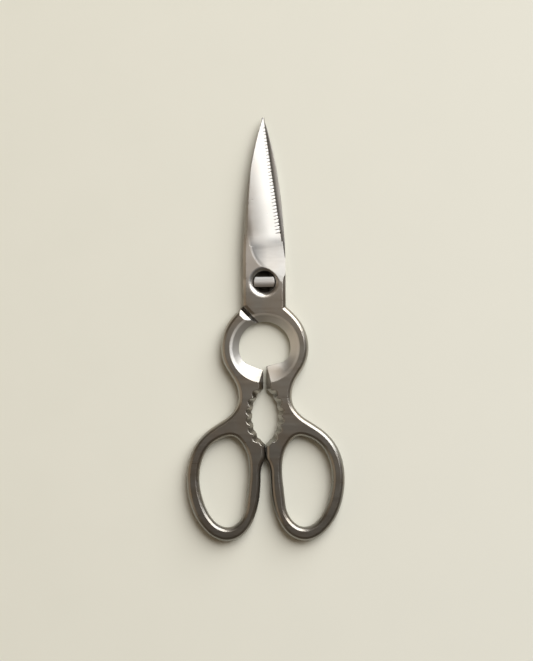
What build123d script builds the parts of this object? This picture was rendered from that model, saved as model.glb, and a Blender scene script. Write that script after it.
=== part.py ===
from build123d import *
import os
from math import atan2, cos, radians, sin, sqrt, tan

# All-steel kitchen shears lying flat and closed. Y runs to the tips, X across, Z up.
# The origin is on the pivot axis, on the plane that the shears rest on.
# Sizes are in millimetres and angles in degrees.

# Thickness: two laps meet at mid-plane with a small gap between their inner faces
thickness = 6.8
blade_gap = 0.1
mid_z = thickness / 2
lap_base = mid_z + blade_gap / 2
lap_height = thickness - lap_base
cut_overrun = 2.0

# Neck and blade
neck_half_width = 10.3
neck_straight_y = 10.0
heel_y = 11.6
heel_step = 0.25
tip_x = 0.35
sharp_reach = 80.85
tip_radius = 0.4
tip_lean = 20
spine_shares = ((0.916, 0.344), (0.718, 0.594), (0.435, 0.792), (0.2, 0.916))
spine_stretches = 3
spine_chamfer_across = 1.45
spine_chamfer_down = 1.1

# Grind of the blade's outer face: a flat that rises from the cutting edge to the spine
grind_angle = 11.4
edge_thickness = 0.35
edge_bevel_width = 0.5
edge_land = 0.06
grind_blend_radius = 20.0
grind_blend_lift = 0.012
plunge_y = 19.0
plunge_radius = 65.0
plunge_sink = 0.02
plunge_drop_angle = 20
plunge_arc = 32
plunge_blend_radius = 10.0

# Fine serration along the front blade's cutting edge
groove_count = 32
groove_first_y = 23.9
groove_pitch = 1.635
groove_angle = 80
groove_heel_length = 2.3
groove_tip_length = 0.9
groove_sink = 0.05
groove_height = 1.2

# Shoulder: the lap of one half ends at a diagonal beside the step wall of the other
lap_diagonal_angle = 46.8
lap_edge_distance = 15.4
step_gap = 1.0
step_draft = 1.5
step_bevel_width = 2.2
step_bevel_depth = 1.3
lap_end_x = 2.0

# Outer side of the handle, from the shoulder round the ring to the waist
shoulder_y = -11.8
shoulder_lead = 4.4
shoulder_slope = 0.88
ring_half_width = 21.2
ring_y = -31.8
waist_half_width = 12.85
waist_y = -55.4
upper_ring_shares = ((0.662, 0.388),)
lower_ring_shares = ((0.257, 0.386), (0.83, 0.72))
ring_stretches = 5

# Finger loop, outer side and hole
loop_outer_x = 38.25
loop_widest_y = -94.8
loop_bottom_x = 19.4
loop_bottom_y = -125.25
loop_inner_x = 2.35
loop_inner_y = -94.0
stop_pad_gap = 0.1
stop_pad_y = -84.2
loop_top_shares = ((0.0827, 0.176), (0.388, 0.327), (0.749, 0.518), (0.931, 0.726))
loop_under_shares = ((0.061, 0.346), (0.371, 0.759))
loop_inside_shares = ((0.469, 0.0848), (0.801, 0.347), (0.959, 0.662))
stop_pad_shares = ((0.478, 0.653),)
loop_stretches = 9
stop_pad_stretches = 2
rim_radius = 2.8
rim_facets = 3
rim_crease_angle = 19
hole_left_x = 8.05
hole_width = 24.0
hole_top_y = -74.55
hole_length = 44.05
hole_shares = (
    (0.409, 0.0), (0.821, 0.136), (1.0, 0.459), (0.899, 0.744), (0.685, 0.94),
    (0.436, 1.0), (0.164, 0.906), (0.041, 0.643), (0.0, 0.358), (0.108, 0.111),
    (0.27, 0.02),
)
hole_stretches = 10

# Ring opening: a circle at mid-plane with a lip on each half, opened to both faces by a bevel
# that bends over into the face
ring_opening_y = -31.7
ring_opening_radius = 12.5
ring_bend_radius = 15.6
ring_bend_depth = 0.6
ring_face_radius = 17.0
ring_land = 0.5
lip_turn_angle = 14
front_lip_y = -40.95
rear_lip_y = -42.8
front_lip_slope = 0.27
rear_lip_slope = 0.34
lip_bend_shares = ((0.52, 0.725),)
lip_stretches = 1
lip_gap = 1.5
lip_face_gap = 5.8
lip_cut_top_y = -38.0
lip_cut_bottom_y = -52.0

# Jaws: a shallow arc on each half, bevelled to both faces, with scallops cut on the slant
jaw_centre_x = -12.1
jaw_centre_y = -64.8
jaw_radius = 18.4
jaw_face_radius = 20.0
scallop_count = 6
scallop_pitch_angle = 13.1
scallop_radius = 2.3
scallop_reach = 18.9
scallop_face_reach = 21.5

# Pivot: recess and ledge in the front half, bar-headed stud riveted into the rear half
recess_radius = 5.45
dish_radius = 3.0
dish_slope = 50
dish_facets = 4
ledge_z = 5.1
journal_radius = 3.3
journal_clearance = 0.02
bar_length = 10.1
bar_width = 4.8
bar_clearance = 0.1
ledge_clearance = 0.05
bar_sink = 0.05
bar_crown = 0.45
bar_edge_chamfer = 0.25
tenon_radius = 2.3
rivet_radius = 3.4
rivet_depth = 1.3
rivet_clearance = 0.01


def along(start, end, shares):
    """Points between two corners of an outline, by shares of the way in X and in Y."""
    return [
        (start[0] + (end[0] - start[0]) * across, start[1] + (end[1] - start[1]) * down)
        for across, down in shares
    ]


def tangent_arcs(curve, stretches):
    """Tangent arcs that follow a smooth curve, two for each of its stretches."""
    for number in range(stretches):
        here, there = number / stretches, (number + 1) / stretches
        lead, trail = curve % here, curve % there
        chord = curve @ there - curve @ here
        pull = chord.dot(lead + trail)
        spread = 2 * (1 - lead.dot(trail)) * chord.dot(chord)
        reach = chord.dot(chord) / (pull + sqrt(pull**2 + spread))
        joint = (curve @ here + curve @ there + (lead - trail) * reach) / 2
        arc = TangentArc(curve @ here, joint, tangent=lead)
        TangentArc(joint, curve @ there, tangent=arc % 1)


def smooth_curve(points, start, end, stretches):
    """Tangent arcs through the points, with the given directions at the two ends."""
    curve = Spline(
        points,
        tangents=[Vector(start).normalized(), Vector(end).normalized()],
        tangent_scalars=(1, 1),
        mode=Mode.PRIVATE,
    )
    tangent_arcs(curve, stretches)
    return curve


def edge_frame():
    """Directions along the cutting edge and across it towards the spine, and the heel's point."""
    heel = Vector(neck_half_width - heel_step, heel_y)
    run = (Vector(tip_x, sharp_reach) - heel).normalized()
    return heel, run, Vector(-run.Y, run.X)


def grind_tool():
    """Solid that lies above the ground face: blade flat, cutting bevel, blend and plunge."""
    heel, run, side = edge_frame()
    rise = tan(radians(grind_angle))
    face_z = lap_base + edge_thickness
    top_z = thickness + grind_blend_lift
    crest = (top_z - face_z) / rise
    blend = grind_blend_radius * tan(radians(grind_angle) / 2)
    blend_start = crest - blend * cos(radians(grind_angle))
    clear_z = thickness + cut_overrun
    bevel_fall = (edge_thickness + edge_bevel_width * rise - edge_land) / edge_bevel_width
    with BuildPart() as tool:
        with BuildSketch(Plane(origin=heel, x_dir=side, z_dir=run)):
            with BuildLine():
                flat = Line(
                    (edge_bevel_width, face_z + edge_bevel_width * rise),
                    (blend_start, face_z + blend_start * rise),
                )
                arc = TangentArc(flat @ 1, (crest + blend, top_z), tangent=flat % 1)
                Polyline(
                    arc @ 1,
                    (crest + blend, clear_z),
                    (-cut_overrun, clear_z),
                    (-cut_overrun, lap_base + edge_land - cut_overrun * bevel_fall),
                    flat @ 0,
                )
            make_face()
        extrude(amount=sharp_reach + cut_overrun, both=True)
        # The plunge is a wide cylinder that leaves the flat near the neck and runs out upwards
        slope = radians(grind_angle)
        start = heel + run * ((plunge_y - heel_y) / run.Y) + Vector(0, 0, face_z)
        climb = side * cos(slope) + Vector(0, 0, sin(slope))
        reach = sharp_reach + cut_overrun
        with BuildSketch(Plane(origin=start, x_dir=run, z_dir=-climb)):
            with BuildLine():
                scoop = CenterArc(
                    (0, plunge_radius - plunge_sink), plunge_radius, -90, -plunge_arc
                )
                Polyline(
                    scoop @ 1,
                    ((scoop @ 1).X, reach),
                    (reach, reach),
                    (reach, -reach * tan(radians(plunge_drop_angle))),
                    scoop @ 0,
                )
            make_face()
        extrude(amount=reach, both=True, mode=Mode.INTERSECT)
    return tool.part


def lap_blank():
    """Neck and blade as one plate in the upper layer, with its edges chamfered."""
    spine = [(-neck_half_width * across, sharp_reach * up) for across, up in spine_shares]
    lean = Vector(sin(radians(tip_lean)), cos(radians(tip_lean)))
    diagonal = radians(lap_diagonal_angle)
    normal = Vector(-sin(diagonal), -cos(diagonal))
    # Where the diagonal edge meets the neck's left side, where it ends over the ring opening,
    # and where the plate ends inside the handle's ring side
    corner_y = (lap_edge_distance + normal.X * neck_half_width) / normal.Y
    end_y = (lap_edge_distance - normal.X * lap_end_x) / normal.Y
    foot_y = ring_opening_y + ring_opening_radius
    with BuildPart() as blank:
        with BuildSketch(Plane.XY.offset(lap_base)):
            with BuildLine():
                curve = smooth_curve(
                    [(-neck_half_width, neck_straight_y), *spine, (tip_x, sharp_reach)],
                    (0, 1), lean, spine_stretches,
                )
                lead = Line(curve @ 1, curve @ 1 + lean * cut_overrun)
                Polyline(
                    lead @ 1,
                    (neck_half_width, (lead @ 1).Y),
                    (neck_half_width, foot_y),
                    (lap_end_x, end_y),
                    (-neck_half_width, corner_y),
                    (-neck_half_width, neck_straight_y),
                )
            make_face()
        extrude(amount=lap_height)
        # The rim is chamfered all round but for the end beyond the tip and the buried end
        top = blank.faces().sort_by(Axis.Z)[-1]
        buried = Vector((lap_end_x + neck_half_width) / 2, (end_y + foot_y) / 2, thickness)
        rim = top.edges().sort_by_distance(buried)[1:].sort_by(Axis.Y)[:-1]
        chamfer(rim, length=spine_chamfer_across, length2=spine_chamfer_down, reference=top)
        # The cutting edge is a straight line from the heel to the tip
        heel, run, side = edge_frame()
        with BuildSketch(Plane.XY.offset(lap_base)):
            with BuildLine():
                Polyline(
                    heel,
                    heel + run * sharp_reach,
                    (ring_half_width, (heel + run * sharp_reach).Y),
                    (ring_half_width, heel_y),
                    heel,
                )
            make_face()
        extrude(amount=lap_height, mode=Mode.SUBTRACT)
        point = blank.edges().filter_by(Axis.Z).sort_by(Axis.Y)[-1]
        fillet(point, radius=tip_radius)
        add(grind_tool(), mode=Mode.SUBTRACT)
        # The scoop runs out softly into the neck's face
        scoop_end = blank.edges().filter_by(GeomType.ELLIPSE).sort_by(SortBy.LENGTH)[-1]
        fillet(scoop_end, plunge_blend_radius)
    return blank.part


def rimmed_plate(outline, way):
    """Plate at full thickness, with rims rounded by facets that lean inwards (-1) or out (1)."""
    turn = radians(90 - rim_crease_angle) / rim_facets
    side_z = thickness - rim_radius * cos(radians(rim_crease_angle))
    with BuildPart() as plate:
        with BuildSketch(Plane.XY.offset(mid_z)):
            add(outline)
        extrude(amount=side_z - mid_z)
        # Each facet ends at an outline that is offset further and higher, up to the crisp crease
        for number in range(1, rim_facets + 1):
            height = rim_radius * sin(turn * number)
            reach = rim_radius * (1 - cos(turn * number))
            with BuildSketch(Plane.XY.offset(side_z + height), mode=Mode.PRIVATE) as section:
                offset(outline, amount=way * reach, kind=Kind.ARC)
            loft([plate.faces().sort_by(Axis.Z)[-1], section.sketch.face()], ruled=True)
        mirror(about=Plane.XY.offset(mid_z))
    return plate.part


def handle_outline():
    """Outline of the ring side, waist and finger loop at mid-plane."""
    corner = (neck_half_width, shoulder_y)
    lead = (neck_half_width - shoulder_lead, shoulder_y + shoulder_lead * shoulder_slope)
    bulge = (ring_half_width, ring_y)
    waist = (waist_half_width, waist_y)
    widest = (loop_outer_x, loop_widest_y)
    bottom = (loop_bottom_x, loop_bottom_y)
    inner = (loop_inner_x, loop_inner_y)
    pad = (stop_pad_gap / 2, stop_pad_y)
    ring_side = (stop_pad_gap / 2, ring_opening_y + ring_opening_radius / 2)
    with BuildSketch() as outline:
        with BuildLine():
            Line(lead, corner)
            smooth_curve(
                [
                    corner, *along(corner, bulge, upper_ring_shares),
                    bulge, *along(bulge, waist, lower_ring_shares), waist,
                ],
                (1, -shoulder_slope), (0, -1), ring_stretches,
            )
            smooth_curve(
                [
                    waist, *along(waist, widest, loop_top_shares),
                    widest, *along(widest, bottom, loop_under_shares),
                    bottom, *along(bottom, inner, loop_inside_shares), inner,
                ],
                (0, -1), (0, 1), loop_stretches,
            )
            smooth_curve(
                [inner, *along(inner, pad, stop_pad_shares), pad],
                (0, 1), (0, 1), stop_pad_stretches,
            )
            Polyline(pad, ring_side, lead)
        make_face()
    return outline.sketch


def hole_outline():
    """Outline of the finger loop's hole at mid-plane."""
    points = [
        (hole_left_x + hole_width * across, hole_top_y - hole_length * down)
        for across, down in hole_shares
    ]
    with BuildSketch() as outline:
        with BuildLine():
            tangent_arcs(Spline(points, periodic=True, mode=Mode.PRIVATE), hole_stretches)
        make_face()
    return outline.sketch


def ring_profile(radius, lip_y, slope, flat_lip):
    """Outline of the ring opening: a circle whose foot is drawn up to the lips."""
    turn = radians(lip_turn_angle)
    right = (radius * cos(turn), ring_opening_y - radius * sin(turn))
    left = (-right[0], right[1])
    foot = (0, lip_y)
    with BuildLine() as outline:
        ThreePointArc(right, (0, ring_opening_y + radius), left)
        if flat_lip:
            bend = along(right, foot, lip_bend_shares)[0]
            smooth_curve(
                [left, (-bend[0], bend[1]), foot],
                (sin(turn), -cos(turn)), (1, -slope), lip_stretches,
            )
            smooth_curve(
                [foot, bend, right], (1, slope), (sin(turn), cos(turn)), lip_stretches,
            )
        else:
            middle = (90 - lip_turn_angle) / 2 + lip_turn_angle
            side = (radius * cos(radians(middle)), ring_opening_y - radius * sin(radians(middle)))
            ThreePointArc(left, (-side[0], side[1]), foot)
            ThreePointArc(foot, side, right)
    return outline.line


def half_forging(lip_y, lip_slope):
    """One half of the shears as the front half lies: blade, lap, ring side, jaw and loop."""
    diagonal = radians(lap_diagonal_angle)
    across = Vector(sin(diagonal), -cos(diagonal))
    wall = lap_edge_distance + step_gap
    bevel_wall = wall + step_draft * (mid_z - step_bevel_depth) / mid_z
    bevel_run = step_bevel_width * (step_bevel_depth + cut_overrun) / step_bevel_depth
    slant = atan2(scallop_face_reach - scallop_reach, mid_z)
    scallop_centre = scallop_reach - scallop_radius / cos(slant)
    with BuildPart() as forging:
        add(rimmed_plate(handle_outline(), -1))
        add(rimmed_plate(hole_outline(), 1), mode=Mode.SUBTRACT)
        # Room for the other half's lap, up to a drafted step wall with a bevelled edge
        with BuildSketch(Plane(origin=(0, 0, 0), x_dir=across, z_dir=(across.Y, -across.X, 0))):
            with BuildLine():
                Polyline(
                    (wall, lap_base),
                    (bevel_wall, step_bevel_depth),
                    (bevel_wall + bevel_run, -cut_overrun),
                    (-ring_half_width, -cut_overrun),
                    (-ring_half_width, lap_base),
                    (wall, lap_base),
                )
            make_face()
        extrude(amount=ring_half_width * 2, both=True, mode=Mode.SUBTRACT)
        add(lap_blank())
        # Ring opening: a narrow land at mid-plane and a bevel to each face
        with BuildSketch():
            add(make_face(ring_profile(ring_opening_radius, lip_y, lip_slope, True), mode=Mode.PRIVATE))
        extrude(amount=thickness, mode=Mode.SUBTRACT)
        for land_z, bend_z, face_z in (
            (mid_z + ring_land / 2, thickness - ring_bend_depth, thickness),
            (mid_z - ring_land / 2, ring_bend_depth, 0),
        ):
            land = ring_profile(ring_opening_radius, lip_y, lip_slope, True)
            bend = ring_profile(
                ring_bend_radius, ring_opening_y - ring_bend_radius, lip_slope, False,
            )
            rim = ring_profile(
                ring_face_radius, ring_opening_y - ring_face_radius, lip_slope, False,
            )
            for lower, lower_z, upper, upper_z in (
                (land, land_z, bend, bend_z), (bend, bend_z, rim, face_z),
            ):
                with BuildSketch(Plane.XY.offset(lower_z)):
                    make_face(lower.edges())
                with BuildSketch(Plane.XY.offset(upper_z)):
                    make_face(upper.edges())
                loft(ruled=True, mode=Mode.SUBTRACT)
        # Gap between the lips, bevelled like the jaws
        with BuildSketch(Plane.XZ.offset(-lip_cut_top_y)):
            with BuildLine():
                Polyline(
                    (-cut_overrun, 0),
                    (lip_face_gap / 2, 0),
                    (lip_gap / 2, mid_z),
                    (lip_face_gap / 2, thickness),
                    (-cut_overrun, thickness),
                    (-cut_overrun, 0),
                )
            make_face()
        extrude(amount=lip_cut_top_y - lip_cut_bottom_y, mode=Mode.SUBTRACT)
        # Jaw: two coned bevels that meet at mid-plane, with slanting scallops in each
        for flip in (0, 180):
            with Locations((jaw_centre_x, jaw_centre_y, mid_z)):
                Cone(
                    jaw_radius, jaw_face_radius, mid_z, rotation=(flip, 0, 0),
                    align=(Align.CENTER, Align.CENTER, Align.MIN), mode=Mode.SUBTRACT,
                )
        for number in range(scallop_count):
            turn = radians((number - (scallop_count - 1) / 2) * scallop_pitch_angle)
            outward = Vector(cos(turn), sin(turn))
            origin = Vector(jaw_centre_x, jaw_centre_y, mid_z) + outward * scallop_centre
            for way in (1, -1):
                axis = outward * sin(slant) + Vector(0, 0, way * cos(slant))
                with BuildSketch(Plane(origin=origin, z_dir=axis)):
                    Circle(scallop_radius)
                extrude(amount=thickness, mode=Mode.SUBTRACT)
    return forging.part


def bar_outline(length, width):
    """A bar with ends rounded about its middle, as the stud's head and its slot have."""
    with BuildSketch() as outline:
        Circle(length / 2)
        Rectangle(length, width, mode=Mode.INTERSECT)
    return outline.sketch


os.makedirs("parts", exist_ok=True)

# Front half: recess, ledge and keyhole slot for the stud, and the fine serration
with BuildPart() as front_half:
    add(half_forging(front_lip_y, front_lip_slope))
    # The recess opens upwards in a soft dish, made of facets that flatten out into the face
    dish = [radians(dish_slope) * (1 - number / dish_facets) for number in range(dish_facets + 1)]
    dish_edge = recess_radius + dish_radius * sin(dish[0])
    with BuildSketch(Plane.XZ):
        with BuildLine():
            Polyline(
                (0, ledge_z),
                (recess_radius, ledge_z),
                *[
                    (dish_edge - dish_radius * sin(slope), thickness - dish_radius * (1 - cos(slope)))
                    for slope in dish
                ],
                (0, thickness),
                (0, ledge_z),
            )
        make_face()
    revolve(axis=Axis.Z, mode=Mode.SUBTRACT)
    Hole(journal_radius + journal_clearance)
    with BuildSketch(Plane.XY.offset(lap_base)):
        add(bar_outline(bar_length + bar_clearance * 2, bar_width + bar_clearance * 2), rotation=90)
    extrude(amount=lap_height, mode=Mode.SUBTRACT)
    heel, run, side = edge_frame()
    rise = tan(radians(grind_angle))
    for number in range(groove_count):
        share = number / (groove_count - 1)
        length = groove_heel_length + (groove_tip_length - groove_heel_length) * share
        station = (groove_first_y + groove_pitch * number - heel_y) / run.Y
        climb = atan2(edge_thickness + groove_sink + length * rise, length)
        base = heel + run * station + Vector(0, 0, lap_base - groove_sink)
        axis = side * cos(climb) + Vector(0, 0, sin(climb))
        flank = groove_height * tan(radians(groove_angle) / 2)
        origin = base - axis * groove_tip_length
        with BuildSketch(Plane(origin=origin, x_dir=run, z_dir=axis)):
            with BuildLine():
                Polyline((0, 0), (-flank, -groove_height), (flank, -groove_height), (0, 0))
            make_face()
        extrude(amount=length + groove_tip_length + cut_overrun, mode=Mode.SUBTRACT)
front_half.part.label = "front_half"

# Rear half: the same forging turned over, with the hole for the stud's riveted end
with BuildPart() as rear_half:
    with Locations((0, 0, thickness)):
        add(half_forging(rear_lip_y, rear_lip_slope), rotation=(0, 180, 0))
    Hole(tenon_radius + rivet_clearance)
    Cone(
        rivet_radius + rivet_clearance, tenon_radius + rivet_clearance, rivet_depth,
        align=(Align.CENTER, Align.CENTER, Align.MIN), mode=Mode.SUBTRACT,
    )
rear_half.part.label = "rear_half"

# Stud: riveted foot, round journal and a crowned bar head that holds the front half down
with BuildPart() as bar_head:
    bar_base = ledge_z + ledge_clearance
    bar_top = thickness - bar_sink
    with BuildSketch(Plane.YZ):
        with BuildLine():
            Polyline(
                (-bar_width / 2, bar_top - bar_crown),
                (-bar_width / 2, bar_base),
                (bar_width / 2, bar_base),
                (bar_width / 2, bar_top - bar_crown),
            )
            ThreePointArc(
                (bar_width / 2, bar_top - bar_crown), (0, bar_top),
                (-bar_width / 2, bar_top - bar_crown),
            )
        make_face()
    extrude(amount=bar_length, both=True)
    Cylinder(
        bar_length / 2, thickness, align=(Align.CENTER, Align.CENTER, Align.MIN),
        mode=Mode.INTERSECT,
    )
    chamfer(bar_head.edges().group_by(Axis.Z)[-1], bar_edge_chamfer)
with BuildPart() as pivot_stud:
    with BuildSketch(Plane.XZ):
        with BuildLine():
            Polyline(
                (0, 0),
                (rivet_radius, 0),
                (tenon_radius, rivet_depth),
                (tenon_radius, mid_z - blade_gap / 2),
                (journal_radius, mid_z - blade_gap / 2),
                (journal_radius, bar_base + ledge_clearance),
                (0, bar_base + ledge_clearance),
                (0, 0),
            )
        make_face()
    revolve(axis=Axis.Z)
    add(bar_head.part)
pivot_stud.part.label = "pivot_stud"

export_step(front_half.part, "parts/front_half.step")
export_step(rear_half.part, "parts/rear_half.step")
export_step(pivot_stud.part, "parts/pivot_stud.step")
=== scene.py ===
from math import atan, cos, pi, radians, sin

import bpy
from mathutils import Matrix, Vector

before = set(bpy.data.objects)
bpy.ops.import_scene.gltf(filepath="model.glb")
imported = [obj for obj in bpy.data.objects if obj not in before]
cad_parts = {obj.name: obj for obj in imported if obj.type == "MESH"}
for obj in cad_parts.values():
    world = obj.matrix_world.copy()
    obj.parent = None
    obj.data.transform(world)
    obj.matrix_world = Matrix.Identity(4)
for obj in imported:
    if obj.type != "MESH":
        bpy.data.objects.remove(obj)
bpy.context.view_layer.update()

MM = 0.001


def mm(*values):
    """Millimetres as metres."""
    return tuple(value * MM for value in values)


# Places on the part: the plane that the halves slide in, the ring, the cutting edge, the blade's root
MID_PLANE = 3.4 * MM
RING_MIDDLE = mm(0, -31.7, 0)
EDGE_HEEL = Vector(mm(10.05, 11.6))
EDGE_TIP = Vector(mm(0.35, 80.85))
PLUNGE_Y = 19.5 * MM

# The photograph: its frame in pixels, a pixel's size at the mid plane, the pixel over the pivot,
# and the camera's roll and height
PHOTO_WIDE, PHOTO_HIGH = 533, 661
METRES_PER_PIXEL = 0.000484
PIVOT_PIXEL = (264.2, 282.0)
ROLL = 0.00715
CAMERA_HEIGHT = 1.1

# Light: one wide softbox high on the right, a weak panel overhead, a weak fill from the left and an
# even surround. The softbox's spans are tangents of the angle from its middle line, across and up.
KEY_AZIMUTH, KEY_TILT = radians(55), radians(50)
KEY_DISTANCE = 6.0
KEY_SPAN, KEY_RISE = (-0.5, 0.5), (-0.55, 0.59)
KEY_RADIANCE = 4.8
TOP_PLACE, TOP_SIZE, TOP_RADIANCE = (0, 0.36, 0.6), (0.7, 0.7), 0.17
FILL_PLACE, FILL_SIZE, FILL_RADIANCE = (-1.3, -0.25, 0.72), (1.2, 0.9), 0.5
WARM = (1.0, 0.8, 0.6)
WORLD_LEVEL = 0.13

# Floor of pale paper: its tone at the left and at the right, lighter to the right as painted light, faint
# clouds and a fine tooth
FLOOR_SIZE = 6.0
FLOOR_SIDES = mm(-130, 130)
FLOOR_PAINTED_LIGHT_TONES = (0.7, 0.695, 0.605), (0.745, 0.745, 0.665)
FLOOR_CLOUD_NOISE, FLOOR_CLOUD_STRENGTH = (30.0, 3.0), 0.3
FLOOR_CLOUD_TONE = (0.8, 0.785, 0.7)
FLOOR_ROUGHNESS, FLOOR_SHEEN = 0.9, 0.1
FLOOR_TOOTH_NOISE, FLOOR_TOOTH_HEIGHT, FLOOR_TOOTH_STRENGTH = (900.0, 3.0), 0.1 * MM, 0.15

# Serration along the front half's edge, the only one: grooves that shorten towards the tip, with painted
# shade along each.
# The fades are shares of a pitch and of a groove's length.
SERRATED_SIDE = 1
GROOVE_FIRST_Y = 23.9 * MM
GROOVE_PITCH = 1.635 * MM
GROOVE_COUNT = 32
GROOVE_HALF_WIDTH = 0.26 * MM
GROOVE_LENGTHS = mm(3.0, 1.7)
GROOVE_ROW_FADE = 0.1
GROOVE_END_FADE = 0.25

# The blade's ground face rolls over this far from the edge, by this much slope for each metre
SPINE_ROLL_START = 5.0 * MM
SPINE_ROLL_BEND = 12.0

# Soft borders of the finish and of the painted light and shade, each from where it starts to where it is
# full.
# From the pivot's axis, from the ring's middle, from the mid plane and above the floor:
WELL_WALL = mm(5.6, 5.2)
SCOOP_ROUND_PIVOT = mm(8, 9)
RING_BEVEL = mm(17.2, 16.6)
RING_BEND = mm(15.4, 16)
SLIDING_FACE = mm(0.3, 0.15)
SUNK_FACE = mm(3.398, 3.33)
WELL_MOUTH = mm(6.25, 5.75)
# Along the part, in y:
LOOPS_Y = mm(-50, -95)
FAR_BEVEL_Y = mm(-43, -35)
NEAR_BEVEL_Y = mm(-58, -24)
BEND_Y = mm(-34, -26)
GROUND_Y = mm(-4, 14)
NECK_START_Y, NECK_END_Y = mm(-7, 6), mm(26, 20)
RECESS_Y = mm(0, 2)
ROOT_START_Y, ROOT_END_Y = mm(-2, 1), mm(23, 17)
SCOOP_START_Y, SCOOP_END_Y = mm(3, 6), mm(27, 24)
BLADE_Y = mm(17, 25)
# Across the part, in x, and then with x counted towards the half's own cutting edge:
FAR_BEVEL_X, NEAR_BEVEL_X = mm(-9, 9), mm(0, -8)
SCOOP_OUTWARD = mm(-9, -8.2)
SPINEWARD = mm(1.5, -4)
# From the cutting edge towards the spine, and from the plunge that ends the ground face:
SLIDING_ACROSS = mm(-1.6, -0.3)
PLUNGE_ACROSS = mm(9, 3)
PLUNGE_REACH = mm(2.2, 0.4)
# Cosines: of a face's lean from the flat, and of the turn of a rounded edge from its face
FLAT_FACE = (0.9, 0.98)
UPWARD_FACE = (0.84, 0.9)
WORN_EDGE = (0.995, 0.93)

# Plain steel: colour, roughness and the radius of its edges
HALF_STEEL = (0.42, 0.408, 0.375), 0.3, 0.5 * MM
STUD_STEEL = (0.6, 0.6, 0.59), 0.36, 0.2 * MM
BEVEL_SAMPLES = 6

# Noises in the steel, by scale and detail, and what they do to its colour
CLOUD_NOISE, CLOUD_RANGE, CLOUD_DIM = (60.0, 4.0), (0.35, 0.65), 0.82
STAIN_NOISE, STAIN_RANGE, STAIN_STRENGTH = (90.0, 2.0), (0.42, 0.66), 0.45
STAIN_TINT = (0.92, 0.78, 0.65)
GRAIN_NOISE, GRAIN_STRETCH = (900.0, 4.0), (0.05, 1, 1)
SCRATCH_NOISE = (5200.0, 2.0)

# Coats over the plain steel, by strength and colour. Ground steel is brighter than forged steel, the
# loops are darker as painted shade, and the scoop is darker towards the spine as painted shade, by a slope
# and a least share.
# Painted shade: the loops darker.
LOOPS_PAINTED_SHADE = 0.3, (0.02, 0.017, 0.014)
GROUND_COAT = 0.5, (0.62, 0.62, 0.61)
# Painted light: the ring's bevel lighter, most on the far side, to set its highlights and reflection.
FAR_BEVEL_PAINTED_LIGHT = 0.9, (0.92, 0.92, 0.88)
NEAR_BEVEL_PAINTED_LIGHT = 0.8, (0.62, 0.62, 0.61)
# Painted highlight: the arc where the bevel turns over lighter.
BEND_PAINTED_HIGHLIGHT = 0.75, (0.95, 0.93, 0.88)
# Painted reflection: the neck's flat face lighter.
NECK_PAINTED_REFLECTION = 0.7, (0.9, 0.88, 0.85)
# Painted shade: the scoop and the recess darker, most towards the spine.
ROOT_PAINTED_SHADE = 1.0, (0.13, 0.13, 0.128)
ROOT_SHADE_RAMP = 0.45, 0.34
# Painted shade: the inner faces dark beside the front blade's edge.
SLIDING_PAINTED_SHADE = 0.85, (0.1, 0.092, 0.085)
# Painted shade: a dark line along the plunge.
PLUNGE_PAINTED_SHADE = 0.3, (0.1, 0.1, 0.1)
# Painted shade: the grooves dark.
GROOVE_PAINTED_SHADE = 0.8, (0.05, 0.048, 0.045)
# Painted shade: the well near-black.
WELL_PAINTED_SHADE = 1.0, (0.03, 0.026, 0.02)
WORN_STRENGTH, WORN_GAIN = 0.3, 1.1

# Roughness: the spread that the grain gives, and what each finish adds
GRAIN_ROUGHNESS = 0.12
WELL_ROUGHER, BEVEL_ROUGHER, ROOT_ROUGHER, WORN_ROUGHER = 0.3, 0.18, 0.22, -0.05

# Fine relief: strength and height of the grain, and the share that short scratches add to it
GRAIN_STRENGTH, GRAIN_HEIGHT, SCRATCH_SHARE = 0.08, 0.04 * MM, 0.5


def make(tree, kind, **values):
    """A new node, with its properties set by name."""
    node = tree.nodes.new(kind)
    for name, value in values.items():
        setattr(node, name, value)
    return node


def feed(tree, socket, value):
    """Join an output to an input, or write a plain value or an opaque colour into it."""
    if isinstance(value, bpy.types.NodeSocket):
        tree.links.new(value, socket)
    elif socket.type == "RGBA":
        socket.default_value = (*value, 1)
    else:
        socket.default_value = value


def start_material(name):
    """A new material, its node tree, and the one shader that it shows."""
    material = bpy.data.materials.new(name)
    material.use_nodes = True
    tree = material.node_tree
    tree.nodes.clear()
    body = make(tree, "ShaderNodeBsdfPrincipled")
    out = make(tree, "ShaderNodeOutputMaterial")
    feed(tree, out.inputs[0], body.outputs[0])
    return material, tree, body


def maths(tree, operation, *values, clamp=False):
    node = make(tree, "ShaderNodeMath", operation=operation, use_clamp=clamp)
    for socket, value in zip(node.inputs, values):
        feed(tree, socket, value)
    return node.outputs[0]


def vector_maths(tree, operation, first, second):
    """A number from two vectors."""
    node = make(tree, "ShaderNodeVectorMath", operation=operation)
    feed(tree, node.inputs[0], first)
    feed(tree, node.inputs[1], second)
    return node.outputs["Value"]


def parts(tree, vector):
    """The x, y and z of a vector."""
    node = make(tree, "ShaderNodeSeparateXYZ")
    feed(tree, node.inputs[0], vector)
    return node.outputs


def product(tree, first, *others):
    for other in others:
        first = maths(tree, "MULTIPLY", first, other)
    return first


def off(tree, value, place):
    """How far a value is from a place, on either side."""
    return maths(tree, "ABSOLUTE", maths(tree, "SUBTRACT", value, place))


def ramp(tree, value, low, high, first=0.0, last=1.0):
    """From first at low to last at high, evenly, and no further; low may be the larger one."""
    node = make(tree, "ShaderNodeMapRange", clamp=True)
    feed(tree, node.inputs["Value"], value)
    for name, number in zip(("From Min", "From Max", "To Min", "To Max"), (low, high, first, last)):
        node.inputs[name].default_value = number
    return node.outputs["Result"]


def band(tree, value, start, end):
    """1 between two soft borders."""
    return product(tree, ramp(tree, value, *start), ramp(tree, value, *end))


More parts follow.
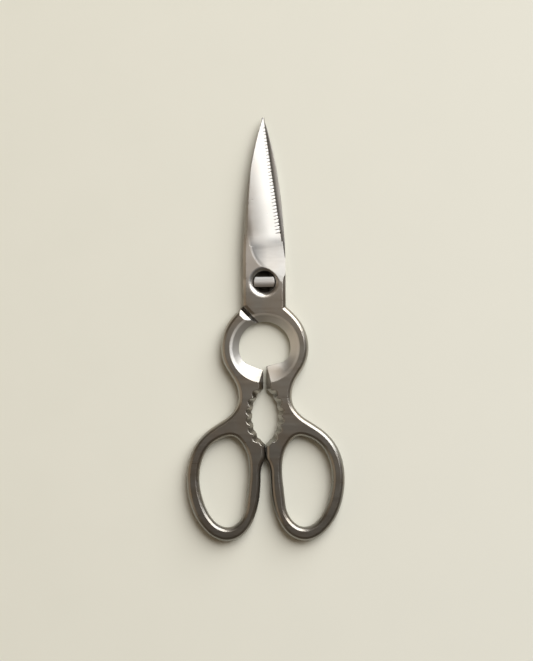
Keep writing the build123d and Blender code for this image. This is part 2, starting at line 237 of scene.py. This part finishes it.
def noise(tree, place, scale, detail, stretch=(1, 1, 1)):
    mapping = make(tree, "ShaderNodeMapping")
    feed(tree, mapping.inputs["Vector"], place)
    mapping.inputs["Scale"].default_value = stretch
    node = make(tree, "ShaderNodeTexNoise")
    feed(tree, node.inputs["Vector"], mapping.outputs[0])
    node.inputs["Scale"].default_value = scale
    node.inputs["Detail"].default_value = detail
    return node.outputs["Fac"]


def blend(tree, share, first, second, kind="RGBA"):
    """A mix of two colours, or of two normals if kind is VECTOR."""
    node = make(tree, "ShaderNodeMix", data_type=kind)
    feed(tree, node.inputs["Factor"], share)
    feed(tree, node.inputs["A"], first)
    feed(tree, node.inputs["B"], second)
    return node.outputs["Result"]


def relief(tree, height, distance, strength, normal=None):
    """The normal of a height, laid over another normal or over the mesh's own."""
    node = make(tree, "ShaderNodeBump")
    node.inputs["Distance"].default_value = distance
    node.inputs["Strength"].default_value = strength
    feed(tree, node.inputs["Height"], height)
    if normal is not None:
        feed(tree, node.inputs["Normal"], normal)
    return node.outputs[0]


def edge_place(tree, x, y):
    """Place along the cutting edge from its heel, and across it towards the spine."""
    run = (EDGE_TIP - EDGE_HEEL).normalized()
    right = maths(tree, "SUBTRACT", x, EDGE_HEEL.x)
    up = maths(tree, "SUBTRACT", y, EDGE_HEEL.y)
    along = maths(tree, "ADD", product(tree, right, run.x), product(tree, up, run.y))
    across = maths(tree, "SUBTRACT", product(tree, up, run.x), product(tree, right, run.y))
    return along, across


class Spot:
    """
    A spot on the steel: where it lies in the part's frame, and how it faces.
    side is 1 for the half with its cutting edge on the right, -1 for the other, 0 for the stud.
    """

    def __init__(self, tree, side):
        whole = make(tree, "ShaderNodeTexCoord").outputs
        self.side = side
        self.place = whole["Object"]
        self.x, self.y, self.z = parts(tree, self.place)
        self.normal = make(tree, "ShaderNodeNewGeometry").outputs["Normal"]
        self.upright = maths(tree, "ABSOLUTE", parts(tree, whole["Normal"])[2])
        self.outward = maths(tree, "MULTIPLY", self.x, side)
        self.along, self.across = edge_place(tree, self.outward, self.y)

        flat = make(tree, "ShaderNodeCombineXYZ")
        feed(tree, flat.inputs[0], self.x)
        feed(tree, flat.inputs[1], self.y)
        self.from_pivot = vector_maths(tree, "DISTANCE", flat.outputs[0], (0, 0, 0))
        self.from_ring = vector_maths(tree, "DISTANCE", flat.outputs[0], RING_MIDDLE)
        self.from_middle = off(tree, self.z, MID_PLANE)
        self.on_bevel = ramp(tree, self.from_ring, *RING_BEVEL)
        self.sunk = ramp(tree, self.from_middle, *SUNK_FACE)


def well_mask(tree, spot):
    """The unpolished well round the pivot, which is rougher, and near-black as painted shade."""
    return product(tree, ramp(tree, spot.from_pivot, *WELL_WALL), ramp(tree, spot.z, *WELL_MOUTH))


def sliding_mask(tree, spot):
    """The flat inner faces, which slide on each other, under the front blade and close beside its edge,
    darkened as painted shade of the front blade.
    """
    across = edge_place(tree, spot.x, spot.y)[1]
    flat = product(tree, ramp(tree, spot.from_middle, *SLIDING_FACE), ramp(tree, spot.upright, *FLAT_FACE))
    return product(tree, flat, ramp(tree, across, *SLIDING_ACROSS))


def bevel_mask(tree, spot, x_border, y_border):
    """One side of the ring's inner bevel, whose tone is painted light."""
    return product(tree, spot.on_bevel, ramp(tree, spot.x, *x_border), ramp(tree, spot.y, *y_border))


def bend_mask(tree, spot):
    """The arc where the upper half of the ring's bevel turns over, lightened as a painted highlight."""
    return product(tree, spot.on_bevel, ramp(tree, spot.from_ring, *RING_BEND), ramp(tree, spot.y, *BEND_Y))


def neck_mask(tree, spot):
    """The neck's flat face, without the recess and the scoop in it, lightened as a painted reflection."""
    hollow = product(tree, spot.sunk, ramp(tree, spot.y, *RECESS_Y))
    return product(tree, band(tree, spot.y, NECK_START_Y, NECK_END_Y), maths(tree, "SUBTRACT", 1.0, hollow))


def root_mask(tree, spot):
    """The scoop and the recess at the root of the blade, which are rougher and carry painted shade."""
    upward = ramp(tree, spot.upright, *UPWARD_FACE)
    return product(tree, band(tree, spot.y, ROOT_START_Y, ROOT_END_Y), spot.sunk, upward)


def plunge_mask(tree, spot):
    """The line where the ground face ends, near the edge, darkened as painted shade."""
    line = ramp(tree, off(tree, spot.y, PLUNGE_Y), *PLUNGE_REACH)
    return product(tree, line, ramp(tree, spot.across, *PLUNGE_ACROSS))


def groove_mask(tree, spot):
    """Painted shade along the floor of each groove of the serration."""
    climb = (EDGE_TIP - EDGE_HEEL).normalized().y
    pitch = GROOVE_PITCH / climb
    first = (GROOVE_FIRST_Y - EDGE_HEEL.y) / climb
    half = 0.5
    last = GROOVE_COUNT - half
    turns = maths(tree, "DIVIDE", maths(tree, "SUBTRACT", spot.along, first), pitch)
    from_line = maths(tree, "PINGPONG", turns, half)
    line = ramp(tree, from_line, GROOVE_HALF_WIDTH / pitch, GROOVE_HALF_WIDTH / pitch / 2)
    within = band(tree, turns, (-half, GROOVE_ROW_FADE - half), (last, last - GROOVE_ROW_FADE))
    length = ramp(tree, turns, 0, last, *GROOVE_LENGTHS)
    share = maths(tree, "DIVIDE", spot.across, length)
    return product(tree, line, within, ramp(tree, share, 1, 1 - GROOVE_END_FADE))


def rounded_edges(tree, radius):
    """The normal rounded over the edges, and a mask of the worn steel along them."""
    bevel = make(tree, "ShaderNodeBevel", samples=BEVEL_SAMPLES)
    bevel.inputs["Radius"].default_value = radius
    face = make(tree, "ShaderNodeNewGeometry").outputs["True Normal"]
    turn = vector_maths(tree, "DOT_PRODUCT", bevel.outputs[0], face)
    return bevel.outputs[0], ramp(tree, turn, *WORN_EDGE)


def blade_normal(tree, spot, normal):
    """The scoop runs out into the neck without a bright edge, and the ground face rolls over."""
    around = ramp(tree, spot.from_pivot, *SCOOP_ROUND_PIVOT)
    inward = ramp(tree, spot.outward, *SCOOP_OUTWARD)
    scoop = product(tree, band(tree, spot.y, SCOOP_START_Y, SCOOP_END_Y), inward, around)
    normal = blend(tree, scoop, normal, spot.normal, "VECTOR")
    past = maths(tree, "MAXIMUM", maths(tree, "SUBTRACT", spot.across, SPINE_ROLL_START), 0.0)
    rolled = relief(tree, product(tree, past, past, -SPINE_ROLL_BEND / 2), 1.0, 1.0, normal)
    return blend(tree, ramp(tree, spot.y, *BLADE_Y), normal, rolled, "VECTOR")


def steel_colour(tree, spot, colour, worn, root, well):
    """Clouded and stained steel, with a coat for each finish and coats of painted light and shade."""
    cloud = ramp(tree, noise(tree, spot.place, *CLOUD_NOISE), *CLOUD_RANGE)
    stain = ramp(tree, noise(tree, spot.place, *STAIN_NOISE), *STAIN_RANGE)
    # Painted shade on the scoop, growing towards the spine.
    spineward_shade = maths(tree, "MULTIPLY_ADD", ramp(tree, spot.outward, *SPINEWARD), *ROOT_SHADE_RAMP)
    # Among these, painted light and shade: loops, bevels, bend, neck, root, sliding faces, plunge, grooves
    # and well.
    finish_and_painted_light_coats = [
        (stain, STAIN_STRENGTH, [c * tint for c, tint in zip(colour, STAIN_TINT)]),
        (ramp(tree, spot.y, *LOOPS_Y), *LOOPS_PAINTED_SHADE),
        (ramp(tree, spot.y, *GROUND_Y), *GROUND_COAT),
        (bevel_mask(tree, spot, FAR_BEVEL_X, FAR_BEVEL_Y), *FAR_BEVEL_PAINTED_LIGHT),
        (bevel_mask(tree, spot, NEAR_BEVEL_X, NEAR_BEVEL_Y), *NEAR_BEVEL_PAINTED_LIGHT),
        (bend_mask(tree, spot), *BEND_PAINTED_HIGHLIGHT),
        (neck_mask(tree, spot), *NECK_PAINTED_REFLECTION),
        (product(tree, root, spineward_shade), *ROOT_PAINTED_SHADE),
        (worn, WORN_STRENGTH, [c * WORN_GAIN for c in colour]),
        (sliding_mask(tree, spot), *SLIDING_PAINTED_SHADE),
    ]
    if spot.side:
        finish_and_painted_light_coats.append((plunge_mask(tree, spot), *PLUNGE_PAINTED_SHADE))
    if spot.side == SERRATED_SIDE:
        finish_and_painted_light_coats.append((groove_mask(tree, spot), *GROOVE_PAINTED_SHADE))
    finish_and_painted_light_coats.append((well, *WELL_PAINTED_SHADE))

    tone = blend(tree, cloud, [c * CLOUD_DIM for c in colour], colour)
    for mask, strength, coat in finish_and_painted_light_coats:
        tone = blend(tree, maths(tree, "MULTIPLY", mask, strength), tone, coat)
    return tone


def steel_roughness(tree, roughness, grain, changes):
    """Roughness that the grain breaks up and each finish changes."""
    rough = maths(tree, "MULTIPLY_ADD", grain, GRAIN_ROUGHNESS, roughness - GRAIN_ROUGHNESS / 2)
    for mask, change in changes:
        rough = maths(tree, "MULTIPLY_ADD", mask, change, rough, clamp=True)
    return rough


def steel(name, side, colour, roughness, edge_radius):
    """Satin steel with fine grain, short scratches, worn edges, the finish of each place on the part and
    painted light and shade.
    """
    material, tree, body = start_material(name)
    spot = Spot(tree, side)
    normal, worn = rounded_edges(tree, edge_radius)
    if side:
        normal = blade_normal(tree, spot, normal)
    root, well = root_mask(tree, spot), well_mask(tree, spot)
    grain = noise(tree, spot.place, *GRAIN_NOISE, GRAIN_STRETCH)
    height = maths(tree, "MULTIPLY_ADD", noise(tree, spot.place, *SCRATCH_NOISE), SCRATCH_SHARE, grain)
    changes = [
        (well, WELL_ROUGHER),
        (spot.on_bevel, BEVEL_ROUGHER),
        (root, ROOT_ROUGHER),
        (worn, WORN_ROUGHER),
    ]

    body.inputs["Metallic"].default_value = 1.0
    feed(tree, body.inputs["Base Color"], steel_colour(tree, spot, colour, worn, root, well))
    feed(tree, body.inputs["Roughness"], steel_roughness(tree, roughness, grain, changes))
    feed(tree, body.inputs["Normal"], relief(tree, height, GRAIN_HEIGHT, GRAIN_STRENGTH, normal))
    return material


def build_floor():
    bpy.ops.mesh.primitive_plane_add(size=FLOOR_SIZE)
    floor = bpy.context.object
    floor.name = "floor"
    material, tree, body = start_material("floor_paper")
    place = make(tree, "ShaderNodeTexCoord").outputs["Object"]
    # Painted light: the floor lighter towards the right.
    tone = blend(tree, ramp(tree, parts(tree, place)[0], *FLOOR_SIDES), *FLOOR_PAINTED_LIGHT_TONES)
    cloud = maths(tree, "MULTIPLY", noise(tree, place, *FLOOR_CLOUD_NOISE), FLOOR_CLOUD_STRENGTH)
    feed(tree, body.inputs["Base Color"], blend(tree, cloud, tone, FLOOR_CLOUD_TONE))
    body.inputs["Roughness"].default_value = FLOOR_ROUGHNESS
    body.inputs["Specular IOR Level"].default_value = FLOOR_SHEEN
    tooth = noise(tree, place, *FLOOR_TOOTH_NOISE)
    feed(tree, body.inputs["Normal"], relief(tree, tooth, FLOOR_TOOTH_HEIGHT, FLOOR_TOOTH_STRENGTH))
    floor.data.materials.append(material)


def panel(name, place, facing, size, radiance, colour=(1, 1, 1)):
    """Rectangular softbox at a place, turned to send its light against the facing direction."""
    lamp = bpy.data.lights.new(name, "AREA")
    lamp.shape = "RECTANGLE"
    lamp.size, lamp.size_y = size
    lamp.energy = radiance * size[0] * size[1] * pi
    lamp.color = colour
    holder = bpy.data.objects.new(name, lamp)
    holder.location = place
    holder.rotation_euler = facing.to_track_quat("Z", "Y").to_euler()
    holder.visible_camera = False
    bpy.context.scene.collection.objects.link(holder)


def build_lights():
    middle = Vector((cos(KEY_AZIMUTH) * sin(KEY_TILT), sin(KEY_AZIMUTH) * sin(KEY_TILT), cos(KEY_TILT)))
    across = Vector((-sin(KEY_AZIMUTH), cos(KEY_AZIMUTH), 0))
    up = middle.cross(across)
    place = middle + across * sum(KEY_SPAN) / 2 + up * sum(KEY_RISE) / 2
    size = [(end - start) * KEY_DISTANCE for start, end in (KEY_SPAN, KEY_RISE)]
    panel("key", place * KEY_DISTANCE, middle, size, KEY_RADIANCE)
    panel("top", Vector(TOP_PLACE), Vector((0, 0, 1)), TOP_SIZE, TOP_RADIANCE, WARM)
    panel("fill", Vector(FILL_PLACE), Vector(FILL_PLACE), FILL_SIZE, FILL_RADIANCE, WARM)


def build_world():
    world = bpy.data.worlds.new("studio")
    bpy.context.scene.world = world
    world.use_nodes = True
    tree = world.node_tree
    tree.nodes.clear()
    out = make(tree, "ShaderNodeOutputWorld")
    back = make(tree, "ShaderNodeBackground")
    feed(tree, back.inputs["Color"], WARM)
    feed(tree, back.inputs["Strength"], WORLD_LEVEL)
    feed(tree, out.inputs[0], back.outputs[0])


def build_camera():
    """Straight down, with the pivot and the part's size as in the photograph."""
    across = PHOTO_WIDE / 2 - PIVOT_PIXEL[0]
    down = PHOTO_HIGH / 2 - PIVOT_PIXEL[1]
    camera = bpy.data.cameras.new("camera")
    camera.sensor_fit = "VERTICAL"
    camera.angle = 2 * atan(PHOTO_HIGH * METRES_PER_PIXEL / 2 / (CAMERA_HEIGHT - MID_PLANE))
    holder = bpy.data.objects.new("camera", camera)
    holder.location = ((across - ROLL * down) * METRES_PER_PIXEL, -down * METRES_PER_PIXEL, CAMERA_HEIGHT)
    holder.rotation_euler = (0, 0, -ROLL)
    bpy.context.scene.collection.objects.link(holder)
    bpy.context.scene.camera = holder


bpy.context.scene.view_settings.view_transform = "Standard"
build_floor()
build_world()
build_lights()
build_camera()

FINISH = {
    "front_half": steel("front_satin_steel", 1, *HALF_STEEL),
    "rear_half": steel("rear_satin_steel", -1, *HALF_STEEL),
    "pivot_stud": steel("stud_bright_steel", 0, *STUD_STEEL),
}
for name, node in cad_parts.items():
    node.data.materials.clear()
    node.data.materials.append(FINISH[name])
